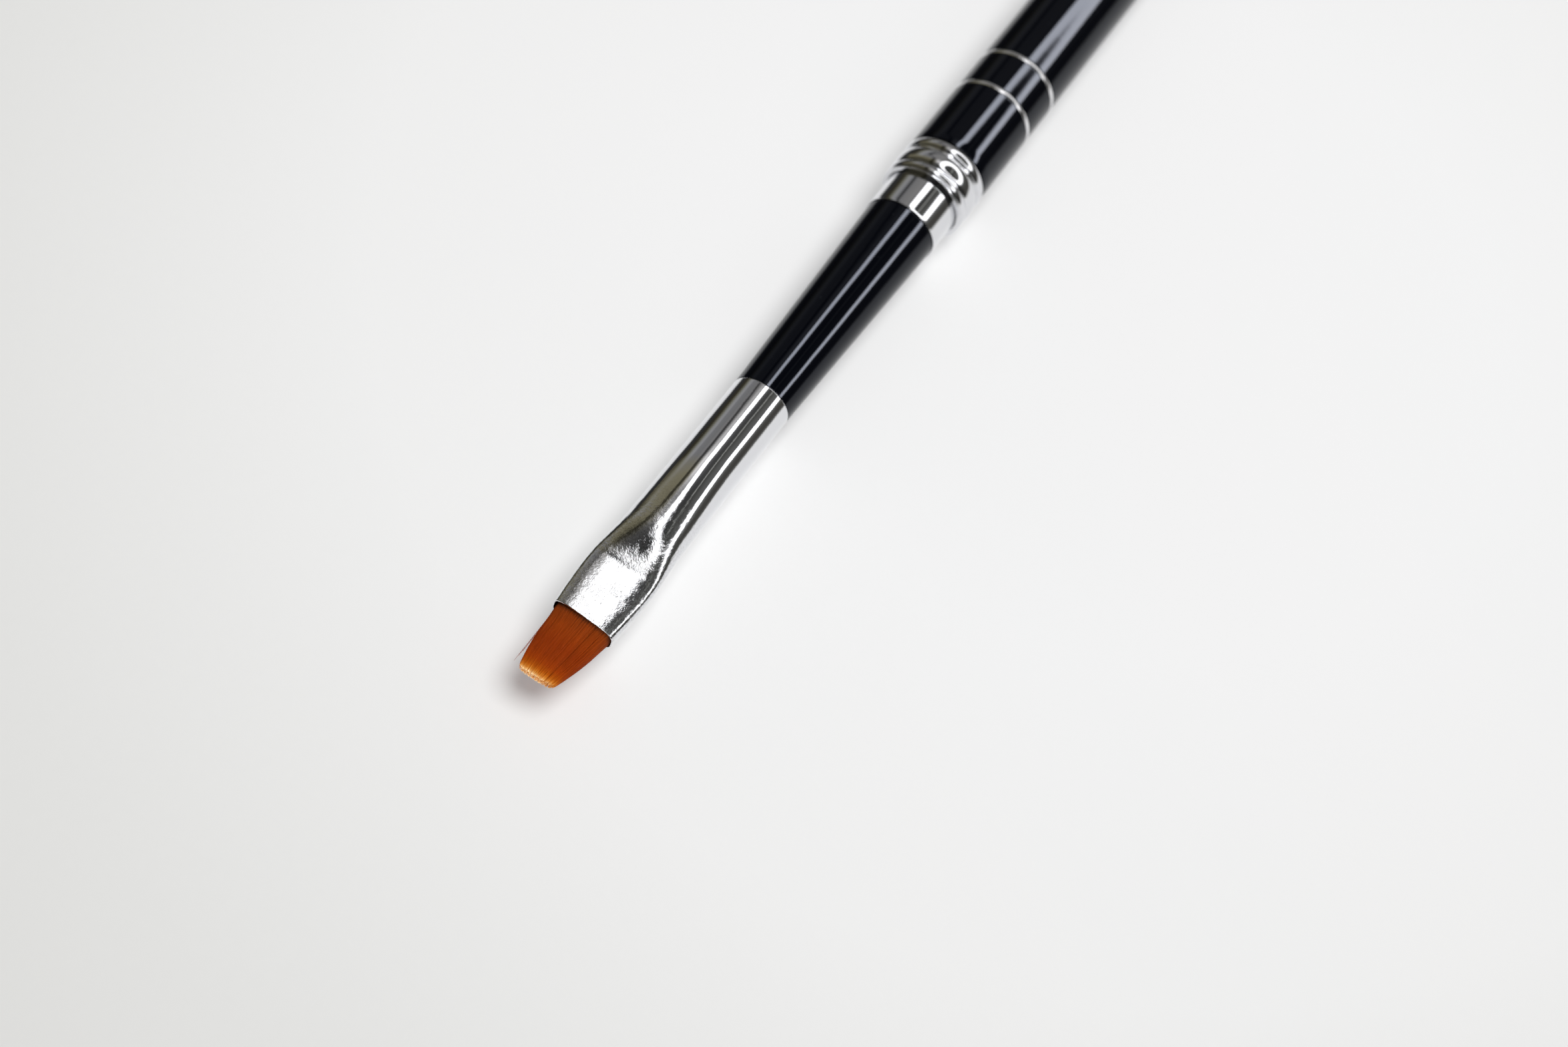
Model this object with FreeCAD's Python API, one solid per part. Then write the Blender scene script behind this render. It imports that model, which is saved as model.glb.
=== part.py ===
import FreeCAD, Part
import math
import os

# Acrylic nail brush in two halves. The head (hair, ferrule, grip and neck) plugs into a hollow
# barrel, held by a rubber ring round the neck. It pulls out, and fits in hair first for storage.
# The brush lies along X. The origin is the centre of the flat rear end, +X points to the hair's
# tip, and the flat of the hair faces +Z. Millimetres.

# Lengths along the axis
OVERALL_LENGTH = 172.0
HAIR_OUT = 6.3            # hair that stands out of the ferrule
FERRULE_LENGTH = 26.9
GRIP_LENGTH = 23.2
NECK_SHOWING = 3.9        # neck between the grip and the collar
NECK_INSERTED = 14.0      # neck inside the collar and the barrel
COLLAR_LENGTH = 4.4
CAP_LENGTH = 5.0

# Main radii
BARREL_R = 4.12
BORE_R = 3.66
NECK_R = 3.60
GRIP_REAR_R = 3.52
FERRULE_REAR_R = 2.83
CORE_R = 2.54

# Ferrule: flat at the mouth, then a ramp back to the round part
MOUTH_HALF_WIDTH = 2.90
MOUTH_HALF_HEIGHT = 1.30
FLAT_LENGTH = 6.0
FLAT_EXPONENT = 3.0       # of the superellipse: 2 is an ellipse, more is squarer
FLAT_WIDENS = 0.28        # how much wider than the mouth the flat is, just before the ramp
FLAT_THINS = 0.10         # how much thinner the flat is there
RAMP_LENGTH = 4.0
RAMP_STEPS = 10
BEHIND_RAMP_R = 2.94
FERRULE_WALL = 0.25

# Exposed hair: half width, half height and exponent of its oval
HAIR_TO_MOUTH = 0.15      # the hair that bends starts this far outside the mouth
HAIR_BASE = (2.50, 1.00, 2.6)
HAIR_MIDDLE = (2.22, 0.72, 2.6)
HAIR_TIP = (1.70, 0.45, 2.6)

# Buried hair, its binding and its glue, with places measured back from the mouth
ROOT_START = 1.1
ROOT_END = 13.0
ROOT_TIED_R = 2.05
ROOT_GAP = 0.08           # between the buried hair and the flat of the ferrule
BINDING_START = 10.8
BINDING_TURNS = 5
THREAD = 0.30
GLUE_START = 10.4
GLUE_END = 14.6
GLUE_FLOOR = 1.2

# Core, neck, plug and friction ring
CORE_START = 15.0         # behind the mouth
NECK_GROOVE_TO_REAR = 5.0
NECK_GROOVE_WIDTH = 0.80
NECK_GROOVE_R = 3.05
PLUG_FLANGE = 0.8
PLUG_FLANGE_R = 3.45
PLUG_SPIGOT = 3.2
RING_CLEARANCE = 0.02     # running clearance of the ring in its groove and in the bore

# Collar: each bead has a start and an end behind the front face, and a peak radius
COLLAR_LAND_R = 4.02
COLLAR_BEADS = ((0.38, 1.21, 4.22), (1.43, 2.79, 4.25), (3.40, 4.23, 4.22))
TONGUE_LENGTH = 3.0
TONGUE_R = 3.88

# Bands round the barrel
COLLAR_TO_FRONT_BAND = 8.2
BAND_SPACING = 4.6
BAND_WIDTH = 0.45
BAND_DEPTH = 0.20
BAND_CROWN = 0.02         # how far the middle of a band stands out of the barrel
BAND_SPLIT = 0.12

# Rear end
CAP_ROUND = 0.9
CAP_SPIGOT = 2.0
CAP_STUD_R = 1.5
CAP_STUD_LENGTH = 6.0
CAP_GROOVE_WIDTH = 0.5
CAP_GROOVE_DEPTH = 0.2
CAP_GROOVE_TO_TUBE = 0.9
END_PLUG_LENGTH = 8.0

# Fits and edges
FIT_GAP = 0.02            # radial gap between parts that are glued or pressed together
END_GAP = 0.2             # spare length at the end of a socket
EDGE_ROUND = 0.30
EDGE_CHAMFER = 0.06

# Places along the axis, worked out from the lengths
MOUTH_X = OVERALL_LENGTH - HAIR_OUT
GRIP_FRONT_X = MOUTH_X - FERRULE_LENGTH
GRIP_REAR_X = GRIP_FRONT_X - GRIP_LENGTH
COLLAR_FRONT_X = GRIP_REAR_X - NECK_SHOWING
COLLAR_REAR_X = COLLAR_FRONT_X - COLLAR_LENGTH
NECK_REAR_X = COLLAR_FRONT_X - NECK_INSERTED
RING_X = NECK_REAR_X + NECK_GROOVE_TO_REAR
FRONT_BAND_X = COLLAR_REAR_X - COLLAR_TO_FRONT_BAND
REAR_BAND_X = FRONT_BAND_X - BAND_SPACING

ORIGIN = FreeCAD.Vector(0, 0, 0)
X_AXIS = FreeCAD.Vector(1, 0, 0)


# ---------------------------------------------------------------- shapes

def place(point):
    """Point of a turned outline: distance along the axis and radius."""
    along, radius = point
    return FreeCAD.Vector(along, 0, radius)


def turned(start, *steps):
    """Solid turned about the X axis from a closed outline of (x, radius) points.

    A step is the next point, for a straight edge, or a pair (through, end) for an arc."""
    edges = []
    here = place(start)
    for step in steps + (start,):
        if isinstance(step[0], tuple):
            through, end = (place(point) for point in step)
            edges.append(Part.Arc(here, through, end).toShape())
        else:
            end = place(step)
            edges.append(Part.makeLine(here, end))
        here = end
    return Part.Face(Part.Wire(edges)).revolve(ORIGIN, X_AXIS, 360)


def rear_round(face_x, radius, size):
    """Arc that rounds the outer edge of a rear face, from the face to the cylinder."""
    slack = size * (1 - math.sqrt(0.5))
    return (face_x + slack, radius - slack), (face_x + size, radius)


def front_round(face_x, radius, size):
    """Arc that rounds the outer edge of a front face, from the face to the cylinder."""
    slack = size * (1 - math.sqrt(0.5))
    return (face_x - slack, radius - slack), (face_x - size, radius)


def oval(along, half_width, half_height, exponent, points=40):
    """Closed smooth wire of a superellipse across the axis."""
    corners = []
    for step in range(points):
        turn = 2 * math.pi * step / points
        across = abs(math.cos(turn)) / half_width
        up = abs(math.sin(turn)) / half_height
        reach = (across ** exponent + up ** exponent) ** (-1 / exponent)
        corners.append(FreeCAD.Vector(along, reach * math.cos(turn), reach * math.sin(turn)))
    curve = Part.BSplineCurve()
    curve.interpolate(Points=corners, PeriodicFlag=True)
    return Part.Wire([curve.toShape()])


def lofted(sections):
    """Solid through ovals, each given as (x, half width, half height, exponent), with straight
    sides from one oval to the next."""
    return Part.makeLoft([oval(*section) for section in sections], True, True)


def smooth_step(value):
    """0 below 0 and 1 above 1, with a smooth rise between."""
    value = min(max(value, 0.0), 1.0)
    return value * value * (3 - 2 * value)


# ---------------------------------------------------------------- ferrule and hair

def ferrule_section(behind_mouth):
    """Outer half width, half height and exponent of the ferrule, this far behind its mouth."""
    along_flat = min(behind_mouth / FLAT_LENGTH, 1.0)
    flat_width = MOUTH_HALF_WIDTH + FLAT_WIDENS * along_flat
    flat_height = MOUTH_HALF_HEIGHT - FLAT_THINS * along_flat
    round_start = FLAT_LENGTH + RAMP_LENGTH
    along_round = max(behind_mouth - round_start, 0.0) / (FERRULE_LENGTH - round_start)
    radius = BEHIND_RAMP_R + (FERRULE_REAR_R - BEHIND_RAMP_R) * along_round
    rise = smooth_step((behind_mouth - FLAT_LENGTH) / RAMP_LENGTH)
    half_width = flat_width + (radius - flat_width) * rise
    half_height = flat_height + (radius - flat_height) * rise
    exponent = FLAT_EXPONENT + (2.0 - FLAT_EXPONENT) * rise
    return half_width, half_height, exponent


def inset_section(behind_mouth, inset):
    """Section for a loft that follows the ferrule's outside, inset by this much."""
    half_width, half_height, exponent = ferrule_section(max(behind_mouth, 0.0))
    return MOUTH_X - behind_mouth, half_width - inset, half_height - inset, exponent


def ferrule_body(inset, first, last):
    """Solid that follows the ferrule's outside, inset by this much, between two distances
    behind its mouth."""
    ramp = [FLAT_LENGTH + RAMP_LENGTH * step / RAMP_STEPS for step in range(RAMP_STEPS + 1)]
    return lofted([inset_section(behind, inset) for behind in [first] + ramp + [last]])


def make_ferrule():
    """Thin brass tube, round at the rear and crimped flat round the hair."""
    outside = ferrule_body(0.0, 0.0, FERRULE_LENGTH)
    inside = ferrule_body(FERRULE_WALL, -END_GAP, FERRULE_LENGTH + END_GAP)
    return outside.cut(inside)


def make_hair_tuft():
    """Exposed hair: flat, narrower and thinner towards a square tip."""
    base_x = MOUTH_X + HAIR_TO_MOUTH
    return lofted([
        (base_x, *HAIR_BASE),
        ((base_x + OVERALL_LENGTH) / 2, *HAIR_MIDDLE),
        (OVERALL_LENGTH, *HAIR_TIP),
    ])


def make_hair_root():
    """Buried hair, flat inside the crimp and tied round at its rear end."""
    inset = FERRULE_WALL + ROOT_GAP
    tied = (ROOT_TIED_R, ROOT_TIED_R, 2.0)
    return lofted([
        inset_section(ROOT_START, inset),
        inset_section(FLAT_LENGTH, inset),
        (MOUTH_X - GLUE_START, *tied),
        (MOUTH_X - ROOT_END, *tied),
    ])


def make_root_binding():
    """Waxed thread wound side by side round the tied end of the bundle."""
    inner = ROOT_TIED_R + FIT_GAP
    middle = inner + THREAD / 2
    front_x = MOUTH_X - BINDING_START
    rear_x = front_x - BINDING_TURNS * THREAD
    turns = []
    for wound in range(BINDING_TURNS):
        turn_x = front_x - wound * THREAD
        turns.append(((turn_x - THREAD / 2, inner + THREAD), (turn_x - THREAD, middle)))
    return turned((front_x, middle), *turns, (rear_x, inner), (front_x, inner))


def make_root_glue():
    """Cup of set glue that fills the ferrule round the tied root."""
    wall = FERRULE_WALL + FIT_GAP
    inside_front = ferrule_section(GLUE_START)[0] - wall
    inside_rear = ferrule_section(GLUE_END)[0] - wall
    pocket_r = ROOT_TIED_R + THREAD + 2 * FIT_GAP
    front_x = MOUTH_X - GLUE_START
    rear_x = MOUTH_X - GLUE_END
    floor_x = rear_x + GLUE_FLOOR
    return turned((front_x, pocket_r), (front_x, inside_front), (rear_x, inside_rear),
                  (rear_x, 0), (floor_x, 0), (floor_x, pocket_r))


# ---------------------------------------------------------------- grip and neck

def make_grip_core():
    """Rod that carries the ferrule, the grip sleeve and the neck sleeve."""
    front_x = MOUTH_X - CORE_START
    rear_x = NECK_REAR_X + PLUG_SPIGOT + END_GAP
    return turned((rear_x, 0),
                  (rear_x, CORE_R),
                  (front_x - EDGE_ROUND, CORE_R),
                  (front_x, CORE_R - EDGE_ROUND),
                  (front_x, 0))


def make_grip_sleeve():
    """Tapered grip, flush with the ferrule in front and rounded at its rear edge."""
    bore = CORE_R + FIT_GAP
    return turned((GRIP_REAR_X, bore),
                  (GRIP_REAR_X, GRIP_REAR_R - EDGE_ROUND),
                  rear_round(GRIP_REAR_X, GRIP_REAR_R, EDGE_ROUND),
                  (GRIP_FRONT_X - EDGE_CHAMFER, FERRULE_REAR_R),
                  (GRIP_FRONT_X, FERRULE_REAR_R - EDGE_CHAMFER),
                  (GRIP_FRONT_X, bore))


def make_neck_sleeve():
    """Turned neck: its front shows, and the rest plugs into the barrel. A groove holds the
    friction ring."""
    bore = CORE_R + FIT_GAP
    groove_front = RING_X + NECK_GROOVE_WIDTH / 2
    groove_rear = RING_X - NECK_GROOVE_WIDTH / 2
    return turned((NECK_REAR_X, bore),
                  (NECK_REAR_X, NECK_R - EDGE_ROUND),
                  rear_round(NECK_REAR_X, NECK_R, EDGE_ROUND),
                  (groove_rear, NECK_R),
                  (groove_rear, NECK_GROOVE_R),
                  (groove_front, NECK_GROOVE_R),
                  (groove_front, NECK_R),
                  (GRIP_REAR_X, NECK_R),
                  (GRIP_REAR_X, bore))


def make_neck_plug():
    """Plug that closes the neck's rear end, with a rounded flange."""
    rear_x = NECK_REAR_X - PLUG_FLANGE
    spigot_x = NECK_REAR_X + PLUG_SPIGOT
    return turned((rear_x, 0),
                  (rear_x, PLUG_FLANGE_R - EDGE_ROUND),
                  rear_round(rear_x, PLUG_FLANGE_R, EDGE_ROUND),
                  (NECK_REAR_X, PLUG_FLANGE_R),
                  (NECK_REAR_X, CORE_R),
                  (spigot_x, CORE_R),
                  (spigot_x, 0))


def make_friction_ring():
    """Rubber ring in the neck's groove that grips the bore."""
    inner = NECK_GROOVE_R + RING_CLEARANCE
    outer = BORE_R - RING_CLEARANCE
    centre = FreeCAD.Vector(RING_X, 0, 0)
    return Part.makeTorus((inner + outer) / 2, (outer - inner) / 2, centre, X_AXIS)


# ---------------------------------------------------------------- collar and barrel

def make_collar():
    """Beaded collar round the barrel's mouth, with a thin tongue inside the barrel."""
    front = COLLAR_FRONT_X
    tongue_x = COLLAR_REAR_X - TONGUE_LENGTH
    steps = [(front, COLLAR_LAND_R - EDGE_CHAMFER),
             front_round(front, COLLAR_LAND_R, EDGE_CHAMFER)]
    for start, end, peak in COLLAR_BEADS:
        steps.append((front - start, COLLAR_LAND_R))
        steps.append(((front - (start + end) / 2, peak), (front - end, COLLAR_LAND_R)))
    steps += [(COLLAR_REAR_X, COLLAR_LAND_R),
              (COLLAR_REAR_X, TONGUE_R),
              (tongue_x, TONGUE_R),
              (tongue_x, BORE_R)]
    return turned((front, BORE_R), *steps)


def band_groove(band_x):
    """Outline of a band's groove in the barrel, rear edge first, with both edges chamfered."""
    half = (BAND_WIDTH + FIT_GAP) / 2
    floor_r = BARREL_R - BAND_DEPTH
    return [(band_x - half - EDGE_CHAMFER, BARREL_R),
            (band_x - half, BARREL_R - EDGE_CHAMFER),
            (band_x - half, floor_r),
            (band_x + half, floor_r),
            (band_x + half, BARREL_R - EDGE_CHAMFER),
            (band_x + half + EDGE_CHAMFER, BARREL_R)]


def make_barrel_tube():
    """Straight hollow barrel with two shallow band grooves and a wider mouth for the tongue."""
    socket_x = COLLAR_REAR_X - TONGUE_LENGTH - END_GAP
    socket_r = TONGUE_R + FIT_GAP
    return turned((CAP_LENGTH, BORE_R),
                  (CAP_LENGTH, BARREL_R - EDGE_CHAMFER),
                  (CAP_LENGTH + EDGE_CHAMFER, BARREL_R),
                  *band_groove(REAR_BAND_X),
                  *band_groove(FRONT_BAND_X),
                  (COLLAR_REAR_X - EDGE_CHAMFER, BARREL_R),
                  (COLLAR_REAR_X, BARREL_R - EDGE_CHAMFER),
                  (COLLAR_REAR_X, socket_r),
                  (socket_x, socket_r),
                  (socket_x, BORE_R))


def make_band(band_x):
    """Sprung metal band snapped into a groove of the barrel, split on its underside."""
    half = BAND_WIDTH / 2
    inner = BARREL_R - BAND_DEPTH + FIT_GAP / 2
    ring = turned((band_x - half, inner),
                  (band_x - half, BARREL_R),
                  ((band_x, BARREL_R + BAND_CROWN), (band_x + half, BARREL_R)),
                  (band_x + half, inner))
    below = FreeCAD.Vector(band_x - BAND_WIDTH, -BAND_SPLIT / 2, -2 * BARREL_R)
    return ring.cut(Part.makeBox(2 * BAND_WIDTH, BAND_SPLIT, 2 * BARREL_R, below))


def make_front_band():
    """Band nearer to the collar."""
    return make_band(FRONT_BAND_X)


def make_rear_band():
    """Band farther from the collar."""
    return make_band(REAR_BAND_X)


def make_end_plug():
    """Plug pressed into the barrel's rear end, bored for the end cap's stud."""
    rear_x = CAP_LENGTH + CAP_SPIGOT + FIT_GAP
    front_x = rear_x + END_PLUG_LENGTH
    floor_x = rear_x + CAP_STUD_LENGTH
    outer = BORE_R - FIT_GAP
    hole = CAP_STUD_R + FIT_GAP
    return turned((rear_x, hole),
                  (rear_x, outer),
                  (front_x - EDGE_ROUND, outer),
                  (front_x, outer - EDGE_ROUND),
                  (front_x, 0),
                  (floor_x, 0),
                  (floor_x, hole))


def make_end_cap():
    """Cap with a flat rear face, a shallow groove, a spigot in the tube and a stud in the plug."""
    groove_front = CAP_LENGTH - CAP_GROOVE_TO_TUBE
    groove_rear = groove_front - CAP_GROOVE_WIDTH
    groove_middle = (groove_rear + groove_front) / 2
    spigot_x = CAP_LENGTH + CAP_SPIGOT
    spigot_r = BORE_R - FIT_GAP
    stud_x = spigot_x + CAP_STUD_LENGTH - END_GAP
    return turned((0, 0),
                  (0, BARREL_R - CAP_ROUND),
                  rear_round(0, BARREL_R, CAP_ROUND),
                  (groove_rear, BARREL_R),
                  ((groove_middle, BARREL_R - CAP_GROOVE_DEPTH), (groove_front, BARREL_R)),
                  (CAP_LENGTH, BARREL_R),
                  (CAP_LENGTH, spigot_r),
                  (spigot_x, spigot_r),
                  (spigot_x, CAP_STUD_R),
                  (stud_x, CAP_STUD_R),
                  (stud_x, 0))


# ---------------------------------------------------------------- pieces

NODES = {
    "hair_tuft": make_hair_tuft,
    "hair_root": make_hair_root,
    "root_binding": make_root_binding,
    "root_glue": make_root_glue,
    "ferrule": make_ferrule,
    "grip_core": make_grip_core,
    "grip_sleeve": make_grip_sleeve,
    "neck_sleeve": make_neck_sleeve,
    "neck_plug": make_neck_plug,
    "friction_ring": make_friction_ring,
    "collar": make_collar,
    "barrel_tube": make_barrel_tube,
    "front_band": make_front_band,
    "rear_band": make_rear_band,
    "end_plug": make_end_plug,
    "end_cap": make_end_cap,
}

os.makedirs("parts", exist_ok=True)
for node, make in NODES.items():
    shape = make()
    if not shape.isValid() or shape.Volume <= 0:
        raise ValueError(node + " is not a valid solid")
    shape.exportStep("parts/" + node + ".step")
    print(node, shape.ShapeType, round(shape.Volume, 3), shape.BoundBox)
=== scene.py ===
import bmesh
import bpy
import math
import random
from mathutils import Matrix, Vector


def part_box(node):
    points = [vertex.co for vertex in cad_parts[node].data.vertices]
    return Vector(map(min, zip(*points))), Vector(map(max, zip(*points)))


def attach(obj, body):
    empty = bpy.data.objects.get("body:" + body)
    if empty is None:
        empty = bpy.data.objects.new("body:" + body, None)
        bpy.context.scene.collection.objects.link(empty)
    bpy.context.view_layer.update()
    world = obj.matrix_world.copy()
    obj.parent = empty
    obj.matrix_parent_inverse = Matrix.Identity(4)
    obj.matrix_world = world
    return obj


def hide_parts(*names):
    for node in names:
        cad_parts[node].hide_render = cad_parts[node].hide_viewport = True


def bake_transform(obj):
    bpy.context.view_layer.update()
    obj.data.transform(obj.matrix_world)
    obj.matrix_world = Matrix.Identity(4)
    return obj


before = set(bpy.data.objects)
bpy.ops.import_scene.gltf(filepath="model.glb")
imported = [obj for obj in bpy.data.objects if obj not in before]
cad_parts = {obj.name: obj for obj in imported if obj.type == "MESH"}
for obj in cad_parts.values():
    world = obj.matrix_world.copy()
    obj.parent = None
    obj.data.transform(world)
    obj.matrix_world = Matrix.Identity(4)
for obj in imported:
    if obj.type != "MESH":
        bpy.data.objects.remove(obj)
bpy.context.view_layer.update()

# The brush lies along X with its hair towards +X and the flat of the hair facing +Z.
# Everything is in metres. MM turns millimetres into metres.
MM = 0.001

# -------- places and sizes from the frame

def span(cad_node):
    """Rear and front of the CAD node."""
    low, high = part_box(cad_node)
    return low.x, high.x


FERRULE_REAR_X, MOUTH_X = span("ferrule")
FERRULE_LENGTH = MOUTH_X - FERRULE_REAR_X
TIP_X = span("hair_tuft")[1]
HAIR_LENGTH = TIP_X - MOUTH_X
GRIP_REAR_X, GRIP_FRONT_X = span("grip_sleeve")
NECK_REAR_X = span("neck_sleeve")[0]
RING_REAR_X, RING_FRONT_X = span("friction_ring")
TONGUE_X, COLLAR_FRONT_X = span("collar")
BARREL_REAR_X, COLLAR_REAR_X = span("barrel_tube")
CAP_REAR_X, STUD_X = span("end_cap")

FIT_GAP = 0.02 * MM
BARREL_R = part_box("barrel_tube")[1].z
NECK_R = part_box("neck_sleeve")[1].z
GRIP_REAR_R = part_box("grip_sleeve")[1].z
CORE_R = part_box("grip_core")[1].z
PLUG_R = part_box("neck_plug")[1].z
BEAD_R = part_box("collar")[1].z
BORE_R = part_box("end_plug")[1].z + FIT_GAP
FERRULE_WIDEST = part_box("ferrule")[1].y
RING_OUTER_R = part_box("friction_ring")[1].z

ROUND_SEGMENTS = 192


# -------- mesh helpers

def smooth_step(value, start, length):
    """0 before the start and 1 a length after it, with a smooth rise between."""
    share = min(max((value - start) / length, 0.0), 1.0)
    return share * share * (3 - 2 * share)


def smoother_step(value, start, length):
    """Like smooth_step, but its bend fades out at both ends."""
    share = min(max((value - start) / length, 0.0), 1.0)
    return share ** 3 * (share * (6 * share - 15) + 10)


def mix(low, high, share):
    return low + (high - low) * share


def spread(low, high, steps):
    """Evenly spaced values from low to high, both of them included."""
    return [mix(low, high, step / steps) for step in range(steps + 1)]


def add_object(name, data):
    """New object in the scene."""
    made = bpy.data.objects.new(name, data)
    bpy.context.scene.collection.objects.link(made)
    return made


def add_surface(name, vertices, faces, material):
    """New object with one material, made of these faces."""
    mesh = bpy.data.meshes.new(name)
    mesh.from_pydata(vertices, [], faces)
    mesh.materials.append(material)
    return add_object(name, mesh)


def new_piece(name, vertices, faces, slot, sharp_degrees=38):
    """Closed piece in the slot's material, smooth but for its sharp edges."""
    piece = add_surface(name, vertices, faces, MATERIALS[slot])
    mesh = piece.data
    work = bmesh.new()
    work.from_mesh(mesh)
    bmesh.ops.recalc_face_normals(work, faces=work.faces)
    work.to_mesh(mesh)
    work.free()
    mesh.shade_smooth()
    mesh.set_sharp_from_angle(angle=math.radians(sharp_degrees))
    return piece


def rounded(corners, steps=6):
    """Closed outline of (x, radius) points from corners of (x, radius, size). A corner is rounded
    over its size along both edges, and long edges get a point close to each end."""
    support = 0.05 * MM
    outline = []
    for index, (x, radius, size) in enumerate(corners):
        here = Vector((x, radius))
        before = Vector(corners[index - 1][:2])
        after = Vector(corners[(index + 1) % len(corners)][:2])
        back = (before - here).normalized()
        on = (after - here).normalized()
        if radius == 0 or size == 0:
            curve = [here]
        else:
            start = here + back * size
            end = here + on * size
            curve = [start.lerp(here, share).lerp(here.lerp(end, share), share)
                     for share in spread(0.0, 1.0, steps)]
        if (before - here).length > 8 * support and radius > 0:
            curve.insert(0, curve[0] + back * support)
        if (after - here).length > 8 * support and radius > 0:
            curve.append(curve[-1] + on * support)
        outline += [(point.x, max(point.y, 0.0)) for point in curve]
    return outline


def lathe(name, outline, slot, split=0.0):
    """Piece turned about the X axis. split leaves a gap of that angle on the underside, closed
    by two flat ends."""
    steps = ROUND_SEGMENTS
    turns = steps + 1 if split else steps
    vertices = []
    rings = []
    for x, radius in outline:
        if radius < 1e-7:
            rings.append([len(vertices)] * turns)
            vertices.append((x, 0.0, 0.0))
            continue
        ring = []
        for step in range(turns):
            angle = split / 2 + (2 * math.pi - split) * step / steps
            ring.append(len(vertices))
            vertices.append((x, radius * math.sin(angle), -radius * math.cos(angle)))
        rings.append(ring)
    faces = []
    for index, ring in enumerate(rings):
        other = rings[(index + 1) % len(rings)]
        for step in range(steps):
            after = (step + 1) % turns
            corners = [ring[step], ring[after], other[after], other[step]]
            face = list(dict.fromkeys(corners))
            if len(face) > 2:
                faces.append(face)
    if split:
        faces.append([ring[0] for ring in rings])
        faces.append([ring[-1] for ring in reversed(rings)])
    return new_piece(name, vertices, faces, slot)


def swept(name, stations, section, around, slot):
    """Closed shell whose rings come from section(station, angle), joined from the last station
    back to the first."""
    vertices = []
    for station in stations:
        for step in range(around):
            vertices.append(section(station, 2 * math.pi * step / around))
    faces = []
    for index in range(len(stations)):
        join_rings(faces, index * around, (index + 1) % len(stations) * around, around)
    return new_piece(name, vertices, faces, slot)


def join_rings(faces, here, other, around):
    """Adds the band of faces between two rings of vertices, given each ring's first vertex."""
    for step in range(around):
        after = (step + 1) % around
        faces.append((here + step, here + after, other + after, other + step))


def add_closed_tube(vertices, faces, rings):
    """Adds a tube through these rings of points, with flat ends, to the vertices and faces."""
    sides = len(rings[0])
    first = len(vertices)
    last = first + (len(rings) - 1) * sides
    for ring in rings:
        vertices += ring
    for here in range(first, last, sides):
        join_rings(faces, here, here + sides, sides)
    faces.append(tuple(first + step for step in range(sides)))
    faces.append(tuple(last + step for step in reversed(range(sides))))


def add_hair(vertices, faces, centres, radii, sides):
    """Adds a tapered tube through these centres to the vertices and faces."""
    rings = []
    for index, centre in enumerate(centres):
        before = centres[max(index - 1, 0)]
        after = centres[min(index + 1, len(centres) - 1)]
        along = (after - before).normalized()
        side = along.cross(Vector((0, 0, 1))).normalized()
        up = side.cross(along)
        ring = []
        for step in range(sides):
            angle = 2 * math.pi * (step + 0.5) / sides
            reach = side * math.cos(angle) + up * math.sin(angle)
            ring.append(centre + reach * radii[index])
        rings.append(ring)
    add_closed_tube(vertices, faces, rings)


def put(piece, cad_node, body):
    """The piece takes the CAD node's place and moves with the body."""
    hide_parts(cad_node)
    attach(piece, body)


# -------- material helpers

def new_material(name):
    """Material with a Principled shader, and its tree."""
    material = bpy.data.materials.new(name)
    material.use_nodes = True
    return material, material.node_tree


def feed(tree, target, inputs):
    """Fills the node's inputs. Each may be a value, a socket or None, which leaves it alone."""
    for key, value in inputs.items():
        if isinstance(value, bpy.types.NodeSocket):
            tree.links.new(value, target.inputs[key])
        elif value is not None:
            target.inputs[key].default_value = value


def dress(material, colour, gloss, normal, more=None):
    """Fills the shader's colour, roughness and bump, and more of its inputs."""
    tree = material.node_tree
    inputs = {"Base Color": colour, "Roughness": gloss, "Normal": normal, **(more or {})}
    feed(tree, tree.nodes["Principled BSDF"], inputs)
    return material


def node(tree, kind, inputs=None, **settings):
    """New node with its settings and inputs."""
    made = tree.nodes.new(kind)
    for key, value in settings.items():
        setattr(made, key, value)
    feed(tree, made, inputs or {})
    return made


def position(tree, scale):
    """Object coordinates times a scale of three numbers, in repeats per metre."""
    coordinates = node(tree, "ShaderNodeTexCoord").outputs["Object"]
    mapping = node(tree, "ShaderNodeMapping", {"Vector": coordinates, "Scale": scale})
    return mapping.outputs["Vector"]


def noise(tree, scale, detail=3.0, roughness=0.5):
    """Noise of 0 to 1 that repeats at about these distances per metre along X, Y and Z."""
    texture = node(tree, "ShaderNodeTexNoise", {"Vector": position(tree, scale), "Scale": 1.0,
                                                "Detail": detail, "Roughness": roughness})
    return texture.outputs["Fac"]


def maths(tree, operation, first, second=0.0):
    return node(tree, "ShaderNodeMath", {0: first, 1: second}, operation=operation).outputs[0]


def map_range(tree, value, low, high, to_low=0.0, to_high=1.0):
    made = node(tree, "ShaderNodeMapRange", {"Value": value, "From Min": low, "From Max": high,
                                             "To Min": to_low, "To Max": to_high})
    return made.outputs["Result"]


def ramp(tree, value, stops):
    """Colour ramp with (place, colour) stops."""
    made = node(tree, "ShaderNodeValToRGB", {"Fac": value})
    elements = made.color_ramp.elements
    while len(elements) > 1:
        elements.remove(elements[-1])
    for index, (place, colour) in enumerate(stops):
        element = elements[0] if index == 0 else elements.new(place)
        element.position = place
        element.color = (*colour, 1.0)
    return made.outputs["Color"]


def mix_colours(tree, share, first, second, blend="MIX"):
    """Mix of two colours. Each is a socket or four numbers."""
    first_colour, second_colour = 6, 7
    made = node(tree, "ShaderNodeMix", {0: share, first_colour: first, second_colour: second},
                data_type="RGBA", blend_type=blend)
    return made.outputs[2]


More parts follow.
